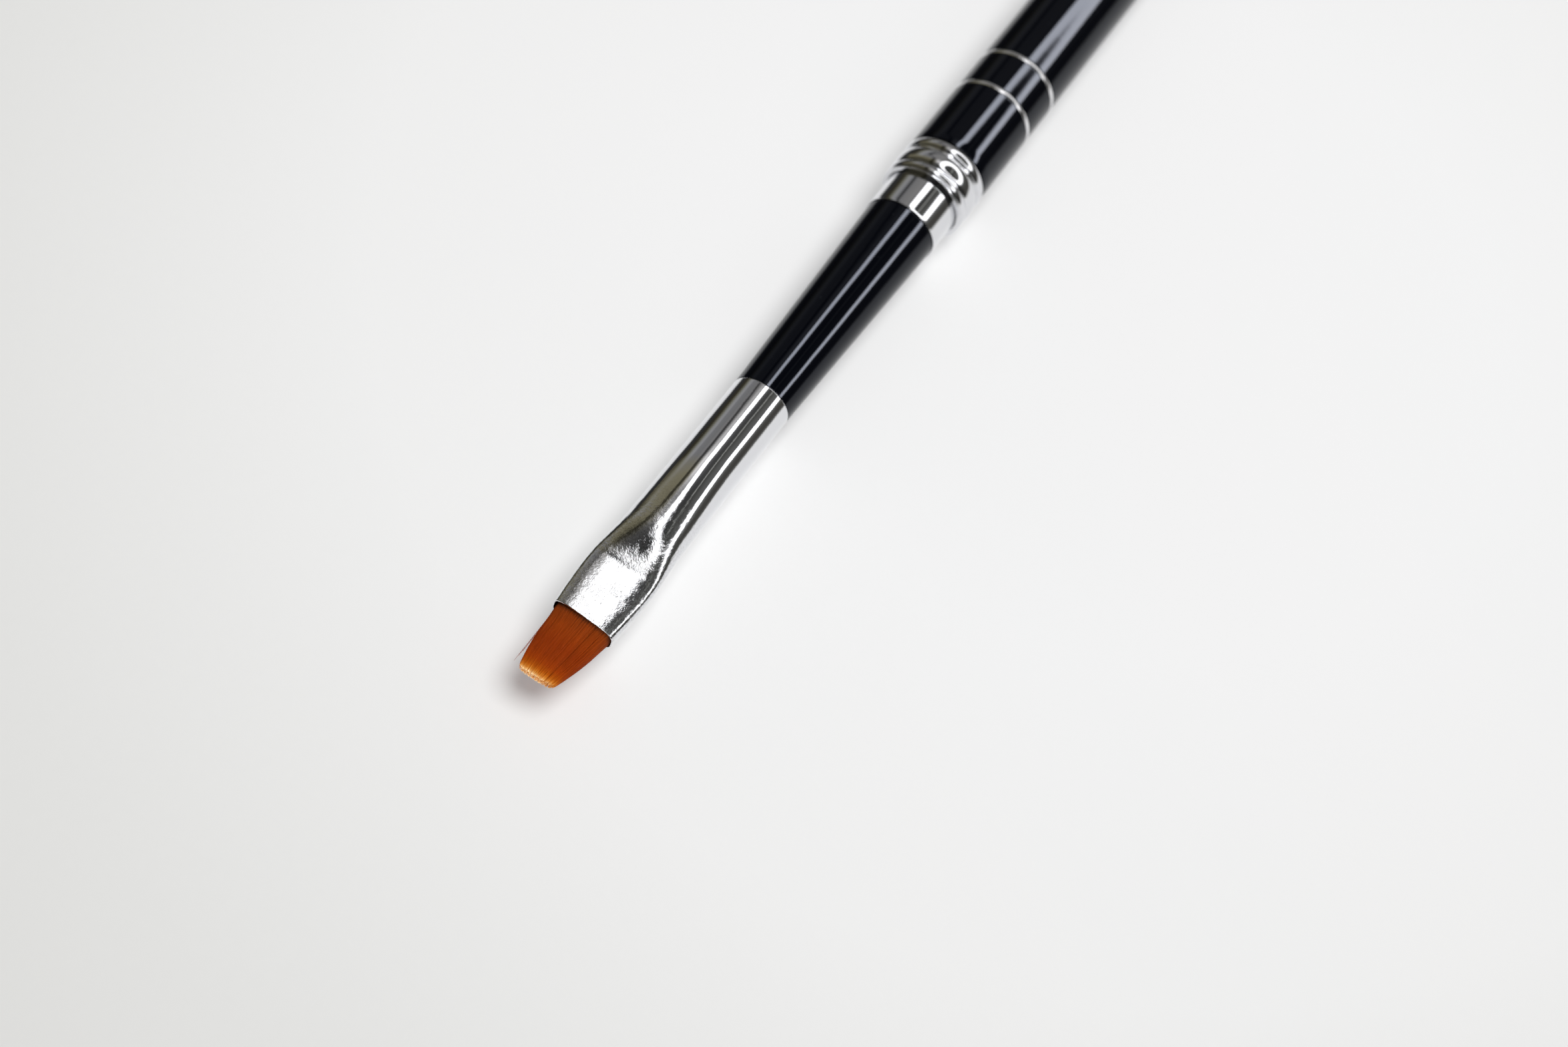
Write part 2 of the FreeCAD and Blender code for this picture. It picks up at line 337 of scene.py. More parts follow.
def scaled_colour(tree, colour, factor):
    """Colour times one factor."""
    grey = node(tree, "ShaderNodeCombineColor", {"Red": factor, "Green": factor, "Blue": factor})
    return mix_colours(tree, 1.0, colour, grey.outputs[0], "MULTIPLY")


def distance_from(tree, value, middle):
    """How far the value is from the middle, on either side."""
    return maths(tree, "ABSOLUTE", maths(tree, "SUBTRACT", value, middle))


def bump(tree, height, distance, normal=None):
    """Bump of this height in metres. normal chains it after another bump."""
    made = node(tree, "ShaderNodeBump", {"Height": height, "Strength": 1.0,
                                         "Distance": distance, "Normal": normal})
    return made.outputs["Normal"]


# -------- materials

METAL = {"Metallic": 1.0}


def polished_metal(name, colour, roughness, waviness):
    """Plated metal: fine lengthwise polishing lines, faint large-scale waviness and small
    differences in gloss."""
    material, tree = new_material(name)
    gloss = map_range(tree, noise(tree, (600, 900, 900)), 0.35, 0.75, roughness, roughness * 2.2)
    darker = [share * 0.94 for share in colour]
    tint = ramp(tree, noise(tree, (250, 400, 400)), [(0.3, colour), (0.7, darker)])
    lines = bump(tree, noise(tree, (300, 9000, 9000)), 0.00025 * MM)
    waves = bump(tree, noise(tree, (260, 500, 500), detail=1.0), waviness * MM, lines)
    return dress(material, tint, gloss, waves, METAL)


def crimped_metal():
    """Ferrule plating: smooth on the round tube, finely dimpled where the jaws pressed it, with
    painted shade there: its colour is darker in fine spots.
    """
    material, tree = new_material("ferrule_plating")
    coordinates = node(tree, "ShaderNodeTexCoord").outputs["Object"]
    place = node(tree, "ShaderNodeSeparateXYZ", {"Vector": coordinates}).outputs["X"]
    pressed = map_range(tree, place, MOUTH_X - 15 * MM, MOUTH_X - 7 * MM, 0.06, 1.0)
    patches = map_range(tree, noise(tree, (500, 700, 700), detail=2.0), 0.42, 0.62)
    blobs = noise(tree, (3400, 3400, 3400), detail=2.5, roughness=0.6)
    grains = noise(tree, (13000, 13000, 13000), detail=2.0, roughness=0.6)
    amount = maths(tree, "MULTIPLY", pressed, map_range(tree, patches, 0.0, 1.0, 0.5, 1.0))
    blobby = bump(tree, maths(tree, "MULTIPLY", blobs, amount), 0.028 * MM)
    grainy = bump(tree, maths(tree, "MULTIPLY", grains, amount), 0.010 * MM, blobby)
    waves = bump(tree, noise(tree, (300, 420, 420), detail=1.5), 0.018 * MM, grainy)
    lines = bump(tree, noise(tree, (250, 9000, 9000)), 0.00025 * MM, waves)
    gloss = map_range(tree, amount, 0.0, 1.0, 0.035, 0.085)
    # painted shade: fine darker spots in the colour where the jaws pressed the metal
    pit_shade_spots = map_range(tree, noise(tree, (6000, 8000, 8000)), 0.50, 0.60)
    painted_pit_shade = maths(tree, "MULTIPLY", pit_shade_spots, pressed)
    tint = ramp(tree, painted_pit_shade, [(0.0, (0.765, 0.77, 0.79)), (1.0, (0.60, 0.60, 0.605))])
    return dress(material, tint, gloss, lines, METAL)


def black_lacquer(name, waviness):
    """Deep gloss black lacquer over metal, with a cool sheen, faint orange peel and dust."""
    material, tree = new_material(name)
    dust = map_range(tree, noise(tree, (2200, 2200, 2200), detail=4.0), 0.66, 0.80)
    colour = ramp(tree, dust, [(0.0, (0.0012, 0.0016, 0.0034)), (1.0, (0.009, 0.010, 0.013))])
    gloss = map_range(tree, noise(tree, (500, 900, 900)), 0.3, 0.8, 0.03, 0.075)
    peel = bump(tree, noise(tree, (1300, 1300, 1300), detail=1.0), 0.0012 * MM)
    waves = bump(tree, noise(tree, (380, 330, 330), detail=1.0), waviness * MM, peel)
    sheen = {"Specular IOR Level": 0.26, "Specular Tint": (0.78, 0.84, 1.0, 1.0)}
    return dress(material, colour, gloss, waves, sheen)


def hair_material():
    """Golden-brown synthetic hair: red-brown at the root, gold towards the tip and pale at the end,
    with each hair a little lighter or darker. It is darkest right at the mouth, which is painted
    shade, and its tip glows a little, which is painted light. The mesh holds along and shade for
    each hair."""
    material, tree = new_material("tuft_hair")
    along = node(tree, "ShaderNodeAttribute", attribute_name="along").outputs["Fac"]
    shade = node(tree, "ShaderNodeAttribute", attribute_name="shade").outputs["Fac"]
    streaks = noise(tree, (120, 5200, 5200), detail=2.0)
    uneven = maths(tree, "MULTIPLY", maths(tree, "SUBTRACT", shade, 0.5), 0.05)
    colour = ramp(tree, maths(tree, "ADD", along, uneven), [
        # the darkest stop, right at the mouth, is painted shade where the hair goes into the
        # ferrule
        (0.00, (0.09, 0.023, 0.006)),
        (0.06, (0.29, 0.051, 0.006)),
        (0.25, (0.350, 0.055, 0.005)),
        (0.50, (0.325, 0.044, 0.004)),
        (0.68, (0.335, 0.046, 0.004)),
        (0.80, (0.42, 0.060, 0.004)),
        (0.90, (0.54, 0.118, 0.006)),
        (0.95, (0.66, 0.23, 0.025)),
        (0.98, (0.82, 0.50, 0.16)),
        (1.00, (0.97, 0.90, 0.66)),
    ])
    lift = maths(tree, "MULTIPLY", shade, 0.35)
    lift = maths(tree, "ADD", lift, maths(tree, "MULTIPLY", streaks, 0.55))
    lift = maths(tree, "ADD", lift, 0.55)
    varied = scaled_colour(tree, colour, lift)
    return dress(material, varied, 0.5, None, {
        "Specular IOR Level": 0.08,
        "Emission Color": varied,
        # painted light: the tip glows a little, standing in for light shining through the hair
        "Emission Strength": map_range(tree, along, 0.86, 1.0, 0.0, 0.32),
        "Alpha": map_range(tree, along, 0.94, 1.0, 1.0, 0.55),
    })


def moulded_plastic(name, colour, roughness):
    """Plain moulded plastic or rubber with a fine grain."""
    material, tree = new_material(name)
    grain = noise(tree, (5000, 5000, 5000), detail=4.0)
    tint = ramp(tree, grain, [(0.3, colour), (0.7, [share * 0.8 for share in colour])])
    gloss = map_range(tree, grain, 0.3, 0.7, roughness, roughness + 0.12)
    return dress(material, tint, gloss, bump(tree, grain, 0.002 * MM))


def amber_glue():
    """Set amber glue, slightly cloudy."""
    material, tree = new_material("amber_glue")
    cloud = noise(tree, (900, 900, 900))
    tint = ramp(tree, cloud, [(0.3, (0.55, 0.32, 0.10)), (0.7, (0.68, 0.45, 0.18))])
    gloss = map_range(tree, cloud, 0.3, 0.7, 0.12, 0.3)
    return dress(material, tint, gloss, bump(tree, cloud, 0.02 * MM))


def waxed_thread():
    """Pale waxed thread with the slant of its twisted strands."""
    material, tree = new_material("waxed_thread")
    wave = node(tree, "ShaderNodeTexWave", {"Vector": position(tree, (5200, 1400, 1400)),
                                            "Scale": 1.0, "Distortion": 2.0})
    strands = wave.outputs["Fac"]
    tint = ramp(tree, strands, [(0.2, (0.60, 0.55, 0.45)), (0.8, (0.78, 0.74, 0.64))])
    return dress(material, tint, 0.6, bump(tree, strands, 0.02 * MM))


def turned_cap_metal():
    """Plated cap with faint turning rings on its face."""
    material, tree = new_material("cap_plating")
    wave = node(tree, "ShaderNodeTexWave", {"Vector": position(tree, (1, 1, 1)), "Scale": 900.0,
                                            "Distortion": 0.4},
                wave_type="RINGS", rings_direction="X")
    rings = wave.outputs["Fac"]
    cloud = noise(tree, (300, 400, 400))
    tint = ramp(tree, cloud, [(0.3, (0.83, 0.83, 0.84)), (0.7, (0.76, 0.76, 0.77))])
    gloss = map_range(tree, rings, 0, 1, 0.06, 0.11)
    return dress(material, tint, gloss, bump(tree, rings, 0.0006 * MM), METAL)


MATERIALS = {
    "hair": hair_material(),
    "ferrule_chrome": crimped_metal(),
    "neck_chrome": polished_metal("neck_plating", (0.76, 0.765, 0.785), 0.03, 0.008),
    "collar_chrome": polished_metal("collar_plating", (0.76, 0.765, 0.785), 0.035, 0.004),
    "band_metal": polished_metal("band_plating", (0.93, 0.93, 0.94), 0.15, 0.002),
    "cap_chrome": turned_cap_metal(),
    "grip_lacquer": black_lacquer("grip_lacquer", 0.010),
    "barrel_lacquer": black_lacquer("barrel_lacquer", 0.004),
    "plug_plastic": moulded_plastic("plug_plastic", (0.016, 0.016, 0.018), 0.32),
    "ring_rubber": moulded_plastic("ring_rubber", (0.022, 0.022, 0.022), 0.62),
    "core_plastic": moulded_plastic("core_plastic", (0.10, 0.10, 0.11), 0.55),
    "end_plug_plastic": moulded_plastic("end_plug_plastic", (0.55, 0.55, 0.52), 0.5),
    "glue": amber_glue(),
    "thread": waxed_thread(),
}


# -------- ferrule

CRIMP_LENGTH = 5.4 * MM  # flat stretch behind the mouth
CRIMP_HALF_HEIGHT = 1.20 * MM
MOUTH_HALF_HEIGHT = 1.30 * MM
MOUTH_HALF_WIDTH = FERRULE_WIDEST - 0.28 * MM
BEHIND_RAMP_R = 2.94 * MM
FERRULE_REAR_R = 2.83 * MM
FERRULE_WALL = 0.25 * MM
LIP_WALL = 0.11 * MM  # the wall is thinned to this at the mouth
CRIMP_EXPONENT = 4.0
CRIMP_TWIST = math.radians(3.9)
STEEP_START = CRIMP_LENGTH - 0.3 * MM  # quick rise of the height behind the flat
STEEP_LENGTH = 5.9 * MM
STEEP_SHARE = 0.42
SLOW_START = CRIMP_LENGTH + 1.2 * MM  # slow rise that makes up the rest
SLOW_LENGTH = 12 * MM
NARROWING_START = CRIMP_LENGTH - 0.7 * MM
NARROWING_LENGTH = 6.6 * MM
JAW_MARK_START = 5.8 * MM  # the jaws' edge left a small step here
JAW_MARK_LENGTH = 0.6 * MM
JAW_MARK_FADE = 8 * MM
JAW_MARK_HEIGHT = 0.045 * MM


def ferrule_form(behind):
    """Half width, half height, exponent and twist of the ferrule's outside, this far behind its
    mouth. The height rises steeply at first and then slowly, so the tube is oval for a while."""
    along_flat = min(behind / CRIMP_LENGTH, 1.0)
    flat_width = mix(MOUTH_HALF_WIDTH, FERRULE_WIDEST, math.sin(along_flat * math.pi / 2))
    flat_height = mix(MOUTH_HALF_HEIGHT, CRIMP_HALF_HEIGHT, along_flat)
    radius = mix(BEHIND_RAMP_R, FERRULE_REAR_R, behind / FERRULE_LENGTH)
    narrowing = smoother_step(behind, NARROWING_START, NARROWING_LENGTH)
    half_width = mix(flat_width, radius, narrowing)
    steep = smoother_step(behind, STEEP_START, STEEP_LENGTH)
    slow = smooth_step(behind, SLOW_START, SLOW_LENGTH)
    rise = STEEP_SHARE * steep + (1 - STEEP_SHARE) * slow
    mark = smooth_step(behind, JAW_MARK_START, JAW_MARK_LENGTH)
    mark -= smooth_step(behind, JAW_MARK_START, JAW_MARK_FADE)
    half_height = mix(flat_height, radius, rise) + JAW_MARK_HEIGHT * mark
    squared = math.exp(-(max(behind - 4.6 * MM, 0.0) / (3.1 * MM)) ** 1.5)
    exponent = mix(2.0, CRIMP_EXPONENT, squared)
    twist = CRIMP_TWIST * (1 - smooth_step(behind, 6 * MM, 12 * MM))
    return half_width, half_height, exponent, twist


def ferrule_point(station, angle):
    """Point of the ferrule at (distance behind the mouth, inset from the outside)."""
    behind, inset = station
    half_width, half_height, exponent, twist = ferrule_form(behind)
    smallest = 0.02 * MM
    across = abs(math.cos(angle)) / max(half_width - inset, smallest)
    up = abs(math.sin(angle)) / max(half_height - inset, smallest)
    reach = (across ** exponent + up ** exponent) ** (-1 / exponent)
    turned = angle - twist
    return MOUTH_X - behind, reach * math.cos(turned), reach * math.sin(turned)


def make_ferrule():
    """Crimped tube with a fine rounded lip, a thick rear wall and a true bore."""
    fine = 0.14 * MM
    crimp_steps = int(12 * MM / fine)
    edge = 0.05 * MM
    support = 0.08 * MM  # a ring just inside each rounded edge keeps its shading clean
    outside = [(0.0, edge), (edge * 0.3, edge * 0.3), (edge, 0.0)]
    outside += [(support + fine * step, 0.0) for step in range(crimp_steps)]
    coarse = spread(outside[-1][0], FERRULE_LENGTH - support, steps=24)
    outside += [(behind, 0.0) for behind in coarse[1:]]
    outside += [(FERRULE_LENGTH - edge, 0.0), (FERRULE_LENGTH - edge * 0.3, edge * 0.3),
                (FERRULE_LENGTH, edge)]
    thinned = 1.2 * MM
    bore = spread(FERRULE_LENGTH, thinned, steps=30)
    inside = [(behind, FERRULE_WALL) for behind in bore[:-1]]
    inside += [(thinned, FERRULE_WALL * 0.96), (0.6 * MM, 0.17 * MM), (edge, LIP_WALL),
               (0.0, LIP_WALL - edge * 0.4)]
    piece = swept("ferrule_tube", outside + inside, ferrule_point, 288, "ferrule_chrome")
    put(piece, "ferrule", "head")


# -------- hair

HAIR_EXPONENT = 2.8
HAIR_R = 0.050 * MM
BURIED = 0.16  # share of the hair's length that is hidden in the mouth
SURFACE_HAIRS = 950
INNER_HAIRS = 520
CLUMPS = 11
STRAY_HAIRS = 3  # they lie along the tuft's left edge
STRAY_R = 0.014 * MM
STRAY_HEIGHT = 0.25 * MM


def in_mouth(along):
    """1 where the hair fills the ferrule's mouth, fading to 0 just outside."""
    return 1 - smooth_step(along, -0.02, 0.07)


def tuft_form(along):
    """Half width, half height and sideways shift of the tuft. along is 0 at the mouth and 1 at
    the tip."""
    filled = in_mouth(along)
    along = max(along, 0.0)
    half_width = (2.58 - 0.25 * along - 0.55 * along * along + 0.07 * filled) * MM
    half_height = (1.00 - 0.20 * along - 0.38 * along * along + 0.14 * filled) * MM
    return half_width, half_height, (0.09 - 0.34 * along - 0.05 * filled) * MM


def tuft_point(along, across, up, length):
    """Point of the tuft: across and up are shares of its half width and half height."""
    half_width, half_height, shift = tuft_form(along)
    angle = math.atan2(up, across)
    fuller = oval_reach(angle, CRIMP_EXPONENT) / oval_reach(angle, HAIR_EXPONENT)
    fill = mix(1.0, fuller, in_mouth(along))
    return Vector((MOUTH_X + length * along, shift + across * half_width * fill,
                   up * half_height * fill))


def oval_reach(angle, exponent):
    """Distance from the middle to the edge of a squared circle whose half width is 1."""
    total = abs(math.cos(angle)) ** exponent + abs(math.sin(angle)) ** exponent
    return total ** (-1 / exponent)


def oval_share(angle, fraction):
    """Shares across and up of a point on the tuft's oval, at this fraction of the way out."""
    reach = fraction * oval_reach(angle, HAIR_EXPONENT)
    return reach * math.cos(angle), reach * math.sin(angle)


def drawn_share(draw, on_surface, surface_from, inner_to):
    """Shares across and up of a hair, drawn at random near the oval's edge or inside it."""
    angle = draw.uniform(0, 2 * math.pi)
    if on_surface:
        return oval_share(angle, draw.uniform(surface_from, 1.0))
    return oval_share(angle, math.sqrt(draw.uniform(0.0, inner_to)))


def hair_values(piece, along_values, shade_values):
    """Stores each vertex's place along its hair and each hair's shade on the mesh."""
    for name, values in (("along", along_values), ("shade", shade_values)):
        attribute = piece.data.attributes.new(name, "FLOAT", "POINT")
        attribute.data.foreach_set("value", values)


def make_tuft():
    """Exposed hair as separate tapered hairs over a solid core, bending from the mouth."""
    draw = random.Random(11)
    sides = 5
    places = (-BURIED, 0.0, 0.2, 0.4, 0.58, 0.74, 0.86, 0.95, 1.0)
    thickness = (1.0, 1.0, 1.0, 0.98, 0.92, 0.84, 0.70, 0.50, 0.25)
    vertices, faces, along_values, shade_values = [], [], [], []
    for number in range(SURFACE_HAIRS + INNER_HAIRS):
        across, up = drawn_share(draw, number < SURFACE_HAIRS, 0.93, 0.85)
        clump = (math.floor((across + 1) / 2 * CLUMPS) + 0.5) / CLUMPS * 2 - 1
        wander = draw.uniform(-0.020, 0.020)
        shade = min(max(draw.gauss(0.5, 0.2), 0.0), 1.0)
        corner = abs(across) ** 7
        length = HAIR_LENGTH * (1.0 - 0.075 * corner - 0.012 * across - draw.uniform(0.0, 0.028))
        centres = []
        for along in places:
            pull = 0.20 * smooth_step(along, 0.72, 0.28) * (clump - across)
            sway = wander * math.sin(math.pi * max(along, 0.0))
            centres.append(tuft_point(along, across + pull + sway, up, length))
        radii = [HAIR_R * share for share in thickness]
        add_hair(vertices, faces, centres, radii, sides)
        for along in places:
            place = max(along, 0.0) * length / HAIR_LENGTH
            along_values += [min(place, 1.0)] * sides
            shade_values += [shade] * sides
    for number in range(STRAY_HAIRS):
        side = -(2.50 - 0.02 * number) * MM
        stray_places = (0.1, 0.35, 0.6, 0.8, 0.97 - 0.09 * number)
        centres = []
        for along in stray_places:
            drift = (0.05 + 0.03 * number) * along * MM
            centres.append(Vector((MOUTH_X + HAIR_LENGTH * along, side + drift, STRAY_HEIGHT)))
        add_hair(vertices, faces, centres, [STRAY_R] * len(stray_places), sides)
        along_values += [0.5] * sides * len(stray_places)
        shade_values += [0.4] * sides * len(stray_places)
    piece = new_piece("hair_tuft_hairs", vertices, faces, "hair", 80)
    hair_values(piece, along_values, shade_values)
    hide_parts("hair_tuft")
    bend_with_tuft(piece)


def make_tuft_core():
    """Solid middle of the tuft, which stops short of the tip."""
    around = 120
    stations = [(-BURIED, 0.90)]
    stations += [(0.05 * step, 0.945) for step in range(17)]
    stations += [(0.83, 0.92), (0.85, 0.85), (0.865, 0.70), (0.872, 0.40), (0.874, 0.02)]
    stations += [(0.873, 0.01), (-BURIED + 0.001, 0.01)]
    piece = swept("hair_tuft_core", stations, furrowed_point, around, "hair")
    along_values = []
    for station in stations:
        along_values += [max(station[0], 0.0)] * around
    hair_values(piece, along_values, [0.35] * len(along_values))
    bend_with_tuft(piece)


def furrowed_point(station, angle):
    """Point of the core at (place along the tuft, fraction of its oval), with fine furrows."""
    along, fraction = station
    furrow = 1 + 0.010 * math.sin(23 * angle) + 0.008 * math.sin(41 * angle + 1)
    across, up = oval_share(angle, fraction * furrow)
    return tuft_point(along, across, up, HAIR_LENGTH)


def bend_with_tuft(piece):
    """Bakes the piece's placement into its mesh. It is not attached to a body and does not bend."""
    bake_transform(piece)


TIED_R = 1.35 * MM  # of the bundle where the thread ties it
ROOT_HALF_WIDTH = 2.45 * MM
ROOT_HALF_HEIGHT = 0.88 * MM


def root_tied(behind):
    """0 in the flat of the ferrule and 1 where the bundle is round."""
    return smooth_step(behind, CRIMP_LENGTH, 4.6 * MM)


def root_form(behind):
    """Half width and half height of the buried bundle, which goes from flat to a tied round and
    stays clear of the ferrule's wall."""
    share = root_tied(behind)
    room = ferrule_form(behind)[1] - FERRULE_WALL - 0.10 * MM
    return (mix(ROOT_HALF_WIDTH, TIED_R, share),
            min(mix(ROOT_HALF_HEIGHT, TIED_R, share), room))


def make_root():
    """Buried hair, from inside the mouth to the tied end of the bundle."""
    draw = random.Random(12)
    low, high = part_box("hair_root")
    sides = 4
    outer_hairs, inner_hairs = 240, 180
    places = spread(high.x, low.x, steps=12)
    vertices, faces, shade_values = [], [], []
    for number in range(outer_hairs + inner_hairs):
        across, up = drawn_share(draw, number < outer_hairs, 0.90, 0.8)
        centres = []
        for x in places:
            half_width, half_height = root_form(MOUTH_X - x)
            trim = mix(1.0, 1.0 / max(math.hypot(across, up), 1.0), root_tied(MOUTH_X - x))
            centres.append(Vector((x, across * half_width * trim, up * half_height * trim)))
        add_hair(vertices, faces, centres, [HAIR_R] * len(places), sides)
        shade_values += [draw.uniform(0.2, 0.8)] * sides * len(places)
    piece = new_piece("hair_root_hairs", vertices, faces, "hair", 80)
    hair_values(piece, [0.12] * len(vertices), shade_values)
    put(piece, "hair_root", "head")


def make_glue():
    """Cup of set glue that fills the ferrule round the tied root."""
    low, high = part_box("root_glue")
    front = MOUTH_X - high.x
    rear = MOUTH_X - low.x
    floor = rear - 1.2 * MM
    against_wall = FERRULE_WALL + FIT_GAP
    inside_cup = against_wall + 0.08 * MM
    near_middle = 2.7 * MM
    stations = [(behind, against_wall) for behind in spread(front, rear, steps=12)]
    stations += [(rear + 0.05 * MM, 1.5 * MM), (rear + 0.07 * MM, near_middle)]
    stations += [(floor, near_middle)]
    stations += [(behind, inside_cup) for behind in spread(floor, front, steps=4)]
    piece = swept("glue_cup", stations, ferrule_point, 96, "glue")
    put(piece, "root_glue", "head")


def make_binding():
    """Thread wound in a helix round the tied end of the hair."""
    low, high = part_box("root_binding")
    thread_r = 0.13 * MM
    turns = 5
    middle_r = root_form(MOUTH_X - high.x)[0] + thread_r
    centres = []
    for share in spread(0.0, 1.0, steps=40 * turns):
        angle = 2 * math.pi * turns * share * (1 - 0.2 / turns)
        x = mix(high.x - thread_r, low.x + thread_r, share)
        centres.append(Vector((x, middle_r * math.cos(angle), middle_r * math.sin(angle))))
    vertices, faces = [], []
    add_closed_tube(vertices, faces, [coil_ring(centre, thread_r, 10) for centre in centres])
    piece = new_piece("binding_thread", vertices, faces, "thread")
    put(piece, "root_binding", "head")


def coil_ring(centre, radius, sides):
    """Ring of points round one point of a coil about the X axis."""
    outward = Vector((0, centre.y, centre.z)).normalized()
    axis = Vector((1, 0, 0))
    ring = []
    for step in range(sides):
        angle = 2 * math.pi * step / sides
        reach = outward * math.cos(angle) + axis * math.sin(angle)
        ring.append(centre + reach * radius)
    return ring


# -------- grip, neck and ring

def make_grip():
    """Tapered black grip with a soft rear edge and a real bore."""
    bore = CORE_R + FIT_GAP
    outline = rounded([
        (GRIP_REAR_X, bore, 0.0),
        (GRIP_REAR_X, GRIP_REAR_R, 0.12 * MM),
        (GRIP_FRONT_X, FERRULE_REAR_R, 0.07 * MM),
        (GRIP_FRONT_X, bore, 0.0),
    ])
    piece = lathe("grip_shell", outline, "grip_lacquer")
    put(piece, "grip_sleeve", "head")


def make_core():
    """Moulded core that joins the ferrule, the grip and the neck. Its nose tapers into the
    ferrule."""
    low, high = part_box("grip_core")
    outline = rounded([
        (low.x, 0.0, 0.0),
        (low.x, CORE_R, 0.20 * MM),
        (high.x - 3.8 * MM, CORE_R, 1.2 * MM),
        (high.x, 1.8 * MM, 0.30 * MM),
        (high.x, 0.0, 0.0),
    ])
    piece = lathe("core_rod", outline, "core_plastic")
    put(piece, "grip_core", "head")


def make_neck():
    """Plated neck with its ring groove."""
    bore = CORE_R + FIT_GAP
    groove_r = 3.05 * MM
    groove_middle = (RING_REAR_X + RING_FRONT_X) / 2
    groove_half = 0.40 * MM
    fine = 0.05 * MM
    outline = rounded([
        (NECK_REAR_X, bore, 0.0),
        (NECK_REAR_X, NECK_R, 0.30 * MM),
        (groove_middle - groove_half, NECK_R, fine),
        (groove_middle - groove_half, groove_r, fine),
        (groove_middle + groove_half, groove_r, fine),
        (groove_middle + groove_half, NECK_R, fine),
        (GRIP_REAR_X - 0.16 * MM, NECK_R, 0.06 * MM),
        (GRIP_REAR_X, NECK_R + 0.018 * MM, 0.01 * MM),
        (GRIP_REAR_X, bore, 0.0),
    ])
    piece = lathe("neck_tube", outline, "neck_chrome")
    put(piece, "neck_sleeve", "head")


def make_neck_plug():
    """Satin plug in the neck's rear end, with a shallow moulding dimple."""
    low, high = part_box("neck_plug")
    outline = rounded([
        (low.x + 0.18 * MM, 0.0, 0.0),
        (low.x + 0.18 * MM, 0.55 * MM, 0.12 * MM),
        (low.x, 1.0 * MM, 0.15 * MM),
        (low.x, PLUG_R, 0.30 * MM),
        (NECK_REAR_X, PLUG_R, 0.05 * MM),
        (NECK_REAR_X, CORE_R, 0.04 * MM),
        (high.x, CORE_R, 0.20 * MM),
        (high.x, 0.0, 0.0),
    ])
    piece = lathe("neck_end_plug", outline, "plug_plastic")
    put(piece, "neck_plug", "head")


def make_friction_ring():
    """Rubber ring with a round section and a faint mould line round its outside."""
    half = (RING_FRONT_X - RING_REAR_X) / 2
    centre_x = (RING_FRONT_X + RING_REAR_X) / 2
    centre_r = RING_OUTER_R - half
    mould_line = 0.006 * MM
    steps = 32
    outline = []
    for step in range(steps):
        angle = 2 * math.pi * step / steps
        reach = half if step == steps // 4 else half - mould_line
        outline.append((centre_x + reach * math.cos(angle), centre_r + reach * math.sin(angle)))
    piece = lathe("rubber_ring", outline, "ring_rubber")
    put(piece, "friction_ring", "friction_ring")


# -------- collar, barrel and bands

COLLAR_LAND_R = BEAD_R - 0.26 * MM
TONGUE_R = BORE_R + 0.22 * MM
# In mm: start and end of each bead behind the collar's front, and how much lower than the
# biggest it is
BEADS = ((0.26, 1.12, 0.05), (1.18, 2.92, 0.0), (3.26, 4.30, 0.05))
VALLEY = (2.92, 3.26)  # hollow between the last two beads
LIP_R = BEAD_R - 0.12 * MM  # rounded lip of the front face
LIP_ROUND = 0.08 * MM


def make_collar():
    """Plated collar with a rounded front lip, three turned beads and a tongue in the barrel."""
    front = COLLAR_FRONT_X
    outline = [(front, BORE_R + 0.06 * MM)]
    for angle in spread(0.0, math.pi, steps=12):
        outline.append((front - LIP_ROUND * (1 - math.cos(angle)),
                        LIP_R - LIP_ROUND * (1 - math.sin(angle))))
    for start, end, below in BEADS:
        half = (end - start) / 2 * MM
        height = BEAD_R - below * MM - COLLAR_LAND_R
        middle_x = front - (start + end) / 2 * MM
        for angle in spread(0.0, math.pi, steps=28):
            outline.append((middle_x + half * math.cos(angle),
                            COLLAR_LAND_R + height * math.sin(angle)))
        if end == VALLEY[0]:
            for share in spread(0.0, 1.0, steps=10)[1:-1]:
                outline.append((front - mix(*VALLEY, share) * MM,
                                COLLAR_LAND_R - 0.03 * MM * math.sin(math.pi * share)))
    edge = 0.05 * MM
    outline += [(COLLAR_REAR_X, COLLAR_LAND_R - 0.02 * MM), (COLLAR_REAR_X, TONGUE_R)]
    outline += [(TONGUE_X + edge, TONGUE_R), (TONGUE_X, TONGUE_R - edge), (TONGUE_X, BORE_R)]
    outline.append((front - 0.06 * MM, BORE_R))
    piece = lathe("beaded_collar", outline, "collar_chrome")
    put(piece, "collar", "barrel")


def band_groove(band):
    """Corners of the groove that a band sits in, rear edge first."""
    low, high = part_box(band)
    floor_r = BARREL_R - 0.20 * MM
    rear = low.x - FIT_GAP / 2
    front = high.x + FIT_GAP / 2
    fine = 0.05 * MM
    return [(rear, BARREL_R, fine), (rear, floor_r, 0.0), (front, floor_r, 0.0),
            (front, BARREL_R, fine)]


def make_barrel():
    """Hollow black barrel. The lacquer thins and rounds over at the collar."""
    socket_r = TONGUE_R + FIT_GAP
    socket_x = TONGUE_X - 0.2 * MM
    outline = rounded([
        (BARREL_REAR_X, BORE_R, 0.0),
        (BARREL_REAR_X, BARREL_R, 0.06 * MM),
        *band_groove("rear_band"),
        *band_groove("front_band"),
        (COLLAR_REAR_X - 0.55 * MM, BARREL_R, 0.45 * MM),
        (COLLAR_REAR_X, BARREL_R - 0.07 * MM, 0.05 * MM),
        (COLLAR_REAR_X, socket_r, 0.0),
        (socket_x, socket_r, 0.0),
        (socket_x, BORE_R, 0.0),
    ])
    piece = lathe("barrel_shell", outline, "barrel_lacquer")
    put(piece, "barrel_tube", "barrel")


